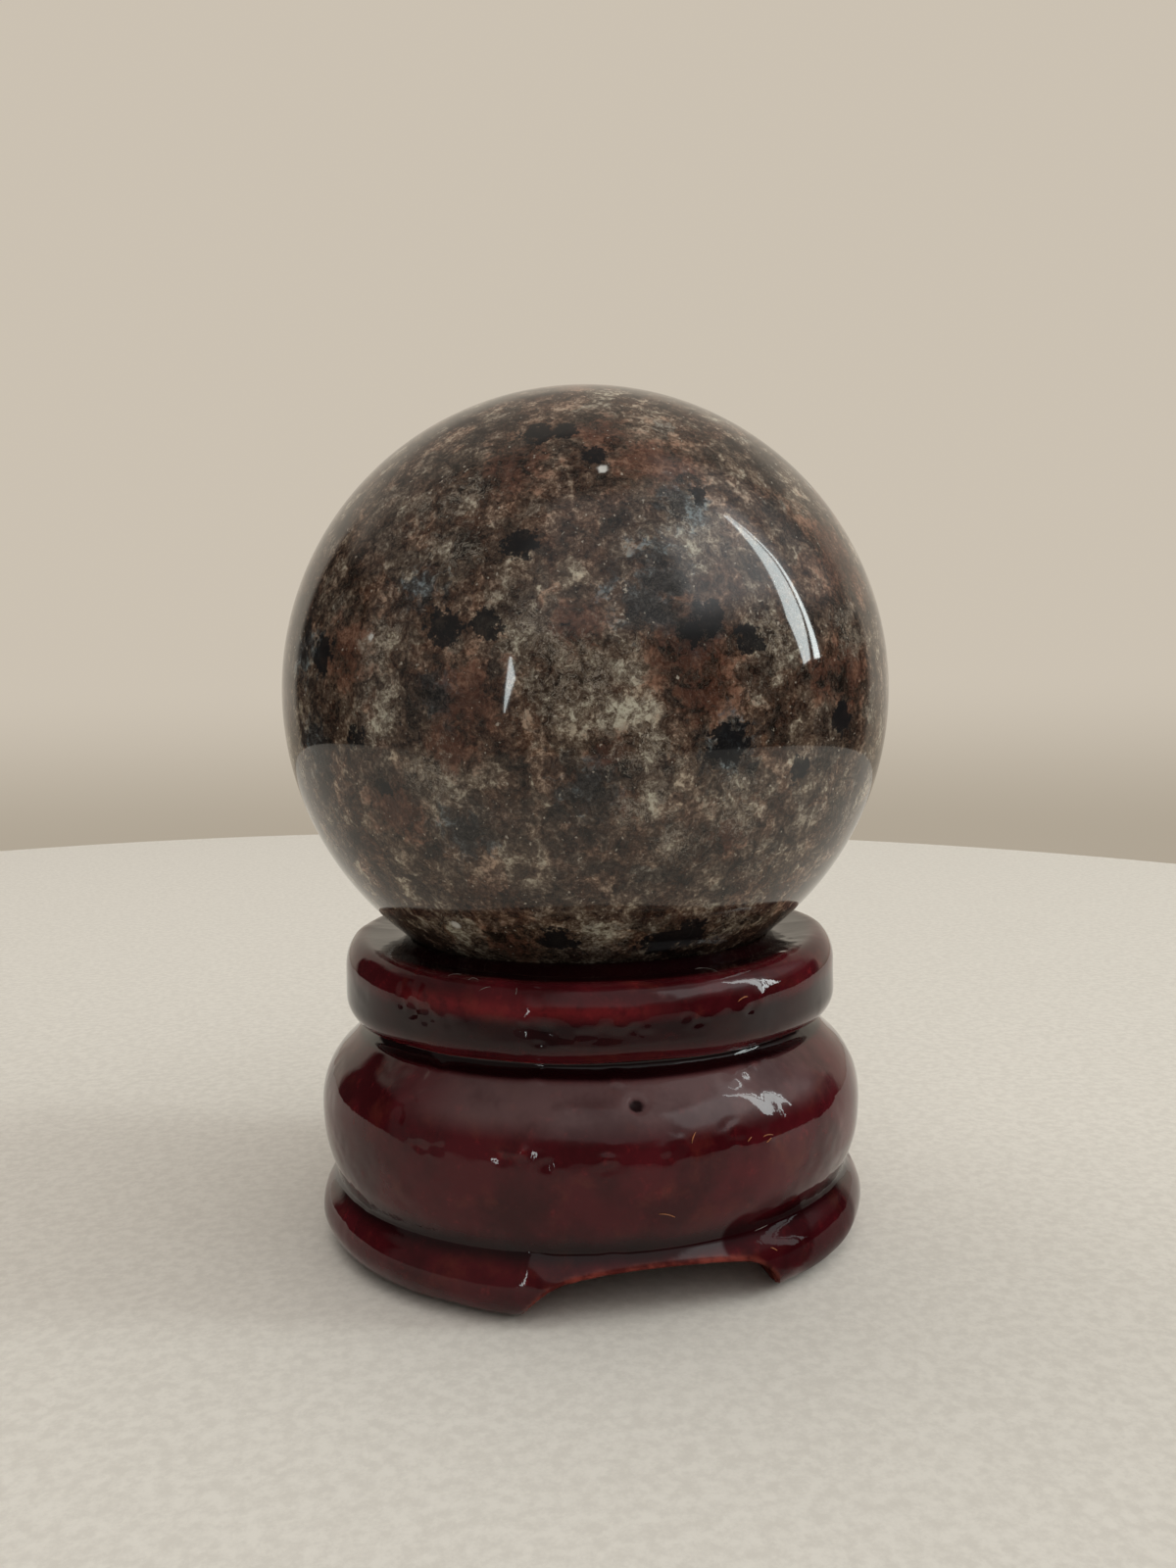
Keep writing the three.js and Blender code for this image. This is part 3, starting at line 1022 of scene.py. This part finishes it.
def lacquer_coat(camera, stand):
    """Gives the stand's mesh the uneven surface of its coat."""
    points = places(stand)
    normals = vertex_values(stand, "normal")
    height = points[:, 2]
    brushed = points * np.array([1 / RIPPLE_STRETCH, 1 / RIPPLE_STRETCH, 1.0])
    busy = CALM_SHARE + (1 - CALM_SHARE) * smoothstep(*BUSY_STEP, noise_field(points, BUSY_SIZE, seed=4))
    coat = LUMP_HEIGHT * noise_field(points, LUMP_SIZE, seed=1)
    coat += RIPPLE_HEIGHT * busy * noise_field(brushed, RIPPLE_SIZE, seed=2)
    coat += PUCKER_HEIGHT * busy**2 * noise_field(points, PUCKER_SIZE, seed=3)
    ragged = patches(Surface(stand), camera, points, RAGGED_SPOTS)
    coat += RAGGED_HEIGHT * ragged * noise_field(points, RAGGED_SIZE, seed=5)
    coat += flaw_field(camera, stand)
    outside = smoothstep(SEAT_MOUTH_RADIUS, SEAT_MOUTH_RADIUS + COAT_START, axis_distance(points))
    moved = points + normals * (coat * outside)[:, None]
    near_groove = np.exp(-(((height - RING_GROOVE[1]) / GROOVE_REACH) ** 2))
    near_groove *= smoothstep(0, GROOVE_FADE, height)
    moved[:, 2] += GROOVE_TILT * points[:, 0] / BELLY_RADIUS * near_groove
    low_side = np.maximum(points @ np.array(toward_camera(0)) / COLLAR_RADIUS, 0)
    collar = smoothstep(COLLAR_BOTTOM, COLLAR_SAG_FULL, height)
    moved[:, 2] -= low_side * outside * (COLLAR_SAG * collar + GROOVE_SAG * near_groove)
    moved[:, 2] = np.maximum(moved[:, 2], 0)
    move(stand, moved)


def lacquer_material():
    material, graph = material_graph("red_lacquer")
    patch = graph.noise(*PATCH_NOISE)
    fine = graph.noise(*FINE_NOISE)
    stain = graph.noise(*STAIN_NOISE)
    colour = graph.mix(graph.span(patch, *RED_EDGE), DEEP_LACQUER, RED_LACQUER)
    colour = graph.mix(graph.span(stain, *WARM_EDGE), colour, WARM_LACQUER)
    colour = graph.mix(graph.span(fine, *BRIGHT_EDGE), colour, BRIGHT_LACQUER)
    # A painted grey sheen on the belly's shoulder
    painted_sheen = graph.math("MULTIPLY", graph.painted("bloom"), graph.span(patch, *PAINTED_SHEEN_BREAKS))
    colour = graph.mix(painted_sheen, colour, PAINTED_SHEEN_COLOUR)
    # Painted shade darkens the coat
    painted_shade = graph.span(graph.painted("painted_shade"), *PAINTED_SHADE_EDGE)
    colour = graph.mix(painted_shade, colour, PAINTED_SHADE_COLOUR)
    # Painted glow along the collar's edges, broken up by fine noise
    thin = graph.math("MULTIPLY", graph.painted("thin"), graph.span(fine, *PAINTED_GLOW_BREAKS))
    colour = graph.mix(thin, colour, BRIGHT_LACQUER)
    cut = graph.painted("cut")
    wood = graph.mix(graph.span(fine, *WOOD_EDGE), CUT_WOOD_DARK, CUT_WOOD)
    # The wood in the hollow under the stand takes the painted shade too
    wood = graph.mix(painted_shade, wood, PAINTED_SHADE_COLOUR)
    colour = graph.mix(cut, colour, wood)
    worn = graph.span(graph.painted("worn"), *WORN_DULL)
    dull = graph.math("MAXIMUM", graph.span(cut, *CUT_DULL), worn)
    normal = graph.bump(graph.noise(*PEEL_NOISE), *PEEL)
    graph.set(
        "Principled BSDF",
        Base_Color=colour,
        Roughness=graph.span(dull, 0, 1, *BASE_ROUGHNESS),
        Specular_IOR_Level=0.0,
        Coat_Weight=graph.span(dull, 0, 1, *COAT_WEIGHT),
        Coat_Roughness=COAT_ROUGHNESS,
        Coat_IOR=COAT_IOR,
        Normal=normal,
        Coat_Normal=normal,
    )
    return material


# Dust: hairs and flecks caught in the lacquer, each along three pixels of the photograph

LINT = {
    "collar hair": ((709, 989), (721, 988), (734, 993)),
    "left lint": ((457, 996), (464, 994), (471, 994)),
    "left lint curl": ((478, 1000), (483, 998), (488, 1000)),
    "left lint low": ((489, 1011), (495, 1008), (501, 1007)),
    "left lint short": ((526, 1015), (527, 1012), (527, 1008)),
    "foot splinter": ((770, 1256), (777, 1253), (783, 1250)),
}
FLECKS = {
    "collar flake": ((753, 1022), (758, 1018), (763, 1017)),
    "belly fleck": ((672, 1239), (680, 1239), (689, 1242)),
    "belly scratch": ((706, 1167), (707, 1161), (710, 1155)),
    "rust chip": ((779, 1160), (783, 1158), (789, 1158)),
    "rust chip low": ((782, 1166), (785, 1163), (787, 1161)),
    "rust chip left": ((763, 1165), (765, 1162), (767, 1160)),
    "foot chip": ((786, 1273), (789, 1274), (793, 1276)),
}
HIDDEN_LINT = 14
LINT_STEP = 0.8
LINT_TURN = 0.7
LINT_RADIUS = 0.024
FLECK_RADIUS = 0.055
LINT_SIDES = 6
LINT_ROWS = 9
LINT_TIP = 0.35
LINT_LIFT = 0.6
LEDGE_SLOPE = 0.2
LINT_COLOUR = (0.22, 0.19, 0.165)
FLECK_COLOUR = (0.36, 0.12, 0.04)
DUST_NOISE = (0.4, 3)
DUST_EDGE = (0.4, 0.6)
DUST_FADE = 0.6
DUST_ROUGHNESS = 0.6


def hair(surface, stops, radius):
    """A thin tube that lies on the surface along a curve through its stops, pointed at both ends."""
    curve = bezier(stops[0], 2 * stops[1] - (stops[0] + stops[2]) / 2, stops[2], LINT_ROWS - 1)
    rows = []
    for index, point in enumerate(curve):
        place, normal = surface.nearest(point)
        ahead = curve[min(index + 1, LINT_ROWS - 1)] - curve[max(index - 1, 0)]
        side = unit(np.cross(normal, ahead))
        along = (index + LINT_TIP) / (LINT_ROWS - 1 + 2 * LINT_TIP)
        thick = radius * math.sqrt(math.sin(math.pi * along))
        for turn in np.arange(LINT_SIDES) * 2 * math.pi / LINT_SIDES:
            outward = side * math.cos(turn) + normal * (LINT_LIFT + math.sin(turn))
            rows.append(place + thick * outward)
    return np.array(rows)


def hair_faces(start):
    faces = [tuple(start + k for k in reversed(range(LINT_SIDES)))]
    for row in range(LINT_ROWS - 1):
        for k in range(LINT_SIDES):
            after = (k + 1) % LINT_SIDES
            here = start + row * LINT_SIDES
            faces.append((here + k, here + after, here + LINT_SIDES + after, here + LINT_SIDES + k))
    last = start + (LINT_ROWS - 1) * LINT_SIDES
    faces.append(tuple(last + k for k in range(LINT_SIDES)))
    return faces


def hidden_lint(stand, surface):
    """Hairs on the ledges that the photograph doesn't show."""
    draw = np.random.default_rng(SEED + 2)
    points = places(stand)
    normals = vertex_values(stand, "normal")
    outer = axis_distance(points) > BELLY_SHOULDER_RADIUS
    ledge = np.nonzero(outer & (normals[:, 2] > LEDGE_SLOPE) & (normals @ toward_camera(0) < 0))[0]
    found = []
    for index in draw.choice(ledge, HIDDEN_LINT, replace=False):
        heading = unit(np.cross(normals[index], draw.normal(size=3)))
        bend = np.cross(normals[index], heading) * draw.uniform(-LINT_TURN, LINT_TURN)
        first = points[index]
        middle = surface.nearest(first + heading * LINT_STEP)[0]
        last = surface.nearest(middle + (heading + bend) * LINT_STEP)[0]
        found.append((first, middle, last))
    return found


def make_dust(name, surface, strands, radius, material):
    points = []
    faces = []
    for stops in strands:
        faces += hair_faces(sum(len(part) for part in points))
        points.append(hair(surface, stops, radius))
    piece = mesh_object(name, np.concatenate(points), faces)
    piece.data.materials.append(material)
    return piece


def dust_material(name, colour):
    material, graph = material_graph(name)
    faded = tuple(DUST_FADE * part for part in colour)
    mottled = graph.mix(graph.span(graph.noise(*DUST_NOISE), *DUST_EDGE), faded, colour)
    graph.set("Principled BSDF", Base_Color=mottled, Roughness=DUST_ROUGHNESS)
    return material


def lay_dust(camera, stand):
    surface = Surface(stand)
    lint = [[surface.seen(camera, *stop) for stop in stops] for stops in LINT.values()]
    lint += hidden_lint(stand, surface)
    flecks = [[surface.seen(camera, *stop) for stop in stops] for stops in FLECKS.values()]
    pale = dust_material("pale_lint", LINT_COLOUR)
    rusty = dust_material("rust_flecks", FLECK_COLOUR)
    return [
        make_dust("lacquer_lint", surface, lint, LINT_RADIUS, pale),
        make_dust("lacquer_flecks", surface, flecks, FLECK_RADIUS, rusty),
    ]


# Stage: a plain pale floor, a slightly oval disc

FLOOR_RADIUS = 254.0
FLOOR_BACK = 114.5
FLOOR_LEFT = 32.0
FLOOR_SKEW = 0.127
FLOOR_THICKNESS = 18.0
FLOOR_SIDES = 256
FLOOR_LOW = (0.67, 0.627, 0.560)
FLOOR_HIGH = (0.757, 0.714, 0.642)
FLOOR_NOISE = (1.1, 5, 0.7)
FLOOR_EDGE = (0.35, 0.65)
FLOOR_ROUGHNESS = 0.6
FLOOR_BUMP = (0.06, 0.3)
# A painted shadow darkens the floor in front, past the picture's lower edge: distances from the stand's
# axis
FLOOR_SHADOW = (0.36, 0.34, 0.31)
FLOOR_SHADOW_START = 52.0
FLOOR_SHADOW_FULL = 105.0


def floor_material():
    material, graph = material_graph("pale_floor")
    speck = graph.noise(*FLOOR_NOISE)
    colour = graph.mix(graph.span(speck, *FLOOR_EDGE), FLOOR_LOW, FLOOR_HIGH)
    # A painted shadow on the floor in front
    front = graph.dot(graph.place, toward_camera(0))
    floor_shadow = graph.span(front, (FLOOR_BACK + FLOOR_SHADOW_START) * MM, (FLOOR_BACK + FLOOR_SHADOW_FULL) * MM)
    colour = graph.mix(floor_shadow, colour, FLOOR_SHADOW)
    normal = graph.bump(speck, *FLOOR_BUMP)
    graph.set("Principled BSDF", Base_Color=colour, Roughness=FLOOR_ROUGHNESS, Normal=normal)
    return material


def make_floor():
    bpy.ops.mesh.primitive_cylinder_add(
        vertices=FLOOR_SIDES, radius=FLOOR_RADIUS * MM, depth=FLOOR_THICKNESS * MM
    )
    floor = bpy.context.object
    floor.name = "floor"
    skew = np.eye(4)
    skew[:3, :3] += FLOOR_SKEW * np.outer(toward_camera(-90), toward_camera(180))
    floor.data.transform(Matrix(skew.tolist()))
    centre = toward_camera(180) * FLOOR_BACK + toward_camera(-90) * FLOOR_LEFT
    floor.location = (centre - Vector((0, 0, FLOOR_THICKNESS / 2))) * MM
    floor.data.materials.append(floor_material())


# Light: a pale backdrop, a dim studio around, slim lit panels, and soft fill that the gloss doesn't show

BACKDROP = (0.60, 0.535, 0.445)
BACKDROP_FOOT = (0.43, 0.373, 0.295)
BACKDROP_TOP = (0.38, 0.34, 0.29)
STUDIO = (0.20, 0.188, 0.170)
GLOW = (0.66, 0.65, 0.63)
HAZE = (2.02, 2.03, 2.01)
DIM = (0.120, 0.105, 0.095)
CORNER = (0.22, 0.20, 0.185)
SHADOW = (0.030, 0.026, 0.024)
CEILING = (0.16, 0.15, 0.14)
# Colour, azimuths, softness, elevations and softness in degrees; a patch lies over those before it
STUDIO_PATCHES = (
    (BACKDROP_FOOT, (-180, 180), 1, (-90, -6), 7),
    (BACKDROP_TOP, (-180, 180), 1, (42, 90), 11),
    (STUDIO, (-110, 117), 12, (-90, 90), 1),
    (GLOW, (-12, 104), 22, (24, 68), 8),
    (HAZE, (46, 88), 10, (31, 50), 9),
    (DIM, (-122, 122), 8, (-90, 11), 5),
    (CORNER, (-84, -28), 6, (-90, 12), 5),
    (SHADOW, (-130, -93), 6, (-90, 26), 8),
    (SHADOW, (44, 122), 8, (-90, 9), 5),
    (CEILING, (-180, 180), 1, (78, 90), 7),
)

PANEL_DISTANCE = 1000.0
DAYLIGHT = (0.92, 1.0, 0.99)
# Each panel by the two edges of its mirror image in the sphere, as pixels from top to bottom
WINDOW_LEFT = ((737, 525), (777, 572), (803, 631), (820, 678))
WINDOW_MIDDLE = ((740, 526), (789, 572), (817, 625), (827, 673))
WINDOW_GAP = ((741, 526), (791, 572), (819, 625), (831, 672))
WINDOW_RIGHT = ((742, 526), (793, 572), (825, 631), (837, 671))
GLINT_LEFT = ((520, 670), (516, 700), (514, 727))
GLINT_RIGHT = ((522, 670), (526, 692), (515, 728))
PANELS = {
    "window_wide": (WINDOW_LEFT, WINDOW_MIDDLE, 10.5),
    "window_slim": (WINDOW_GAP, WINDOW_RIGHT, 14.0),
    "front_strip": (GLINT_LEFT, GLINT_RIGHT, 12.0),
}
# Azimuth, elevation, distance, size and how brightly a white surface facing the lamp shows it
FILLS = {
    "overhead_fill": (178, 84, 700, 900, 0.23),
    "left_fill": (-120, 50, 900, 700, 0.145),
    "right_fill": (115, 42, 900, 700, 0.07),
    "front_fill": (5, 42, 1100, 900, 0.155),
}


def make_world():
    world = bpy.data.worlds.new("studio")
    bpy.context.scene.world = world
    graph = Graph(world, "Generated")
    split = graph.node("ShaderNodeSeparateXYZ", inputs={0: graph.place})
    right = graph.dot(graph.place, toward_camera(90))
    near = graph.dot(graph.place, toward_camera(0))
    azimuth = graph.math("DEGREES", graph.math("ARCTAN2", right, near))
    elevation = graph.math("DEGREES", graph.math("ARCSINE", split.outputs["Z"]))
    colour = BACKDROP
    for patch, azimuths, side_softness, elevations, edge_softness in STUDIO_PATCHES:
        share = graph.math(
            "MULTIPLY",
            graph.between(azimuth, *azimuths, side_softness),
            graph.between(elevation, *elevations, edge_softness),
        )
        colour = graph.mix(share, colour, patch)
    graph.set("Background", Color=colour, Strength=1.0)


def panel_material(name, radiance):
    material, graph = material_graph(name)
    black = (0.0, 0.0, 0.0)
    graph.set("Principled BSDF", Base_Color=black, Emission_Color=DAYLIGHT, Emission_Strength=radiance)
    return material


def make_panels(camera):
    """Lit panels, placed so that the sphere mirrors them where the photograph shows its highlights."""
    for name, (left, right, radiance) in PANELS.items():
        points = []
        for pixel in left + right:
            place, direction = mirrored(camera, *pixel)
            points.append(place + direction * PANEL_DISTANCE)
        count = len(left)
        faces = [(k, k + 1, count + k + 1, count + k) for k in range(count - 1)]
        panel = mesh_object(name, points, faces)
        panel.data.materials.append(panel_material(name, radiance))
        panel.visible_camera = False


def make_fills():
    for name, (azimuth, elevation, distance, size, level) in FILLS.items():
        data = bpy.data.lights.new(name, "AREA")
        data.shape = "DISK"
        data.size = size * MM
        data.energy = level * math.pi**2 * (distance * MM) ** 2
        light = bpy.data.objects.new(name, data)
        direction = toward_camera(azimuth, elevation)
        light.location = (Vector(SPHERE_CENTRE) + direction * distance) * MM
        light.rotation_euler = direction.to_track_quat("Z", "Y").to_euler()
        light.visible_glossy = False
        bpy.context.scene.collection.objects.link(light)


# Assembly

camera = make_camera()
sphere = make_sphere()
stand = make_stand()
mark_stone(camera, sphere)
mark_lacquer(camera, stand)
lacquer_coat(camera, stand)
dust = lay_dust(camera, stand)
sphere.data.materials.append(stone_material())
stand.data.materials.append(lacquer_material())
make_floor()
make_world()
make_panels(camera)
make_fills()
bpy.context.scene.view_settings.view_transform = "Standard"

for piece, node, slot in (
    (sphere, "stone_sphere", "polished_stone"),
    (stand, "wooden_stand", "lacquered_wood"),
):
    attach(piece, "root")
    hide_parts(node)
for piece in dust:
    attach(piece, "root")
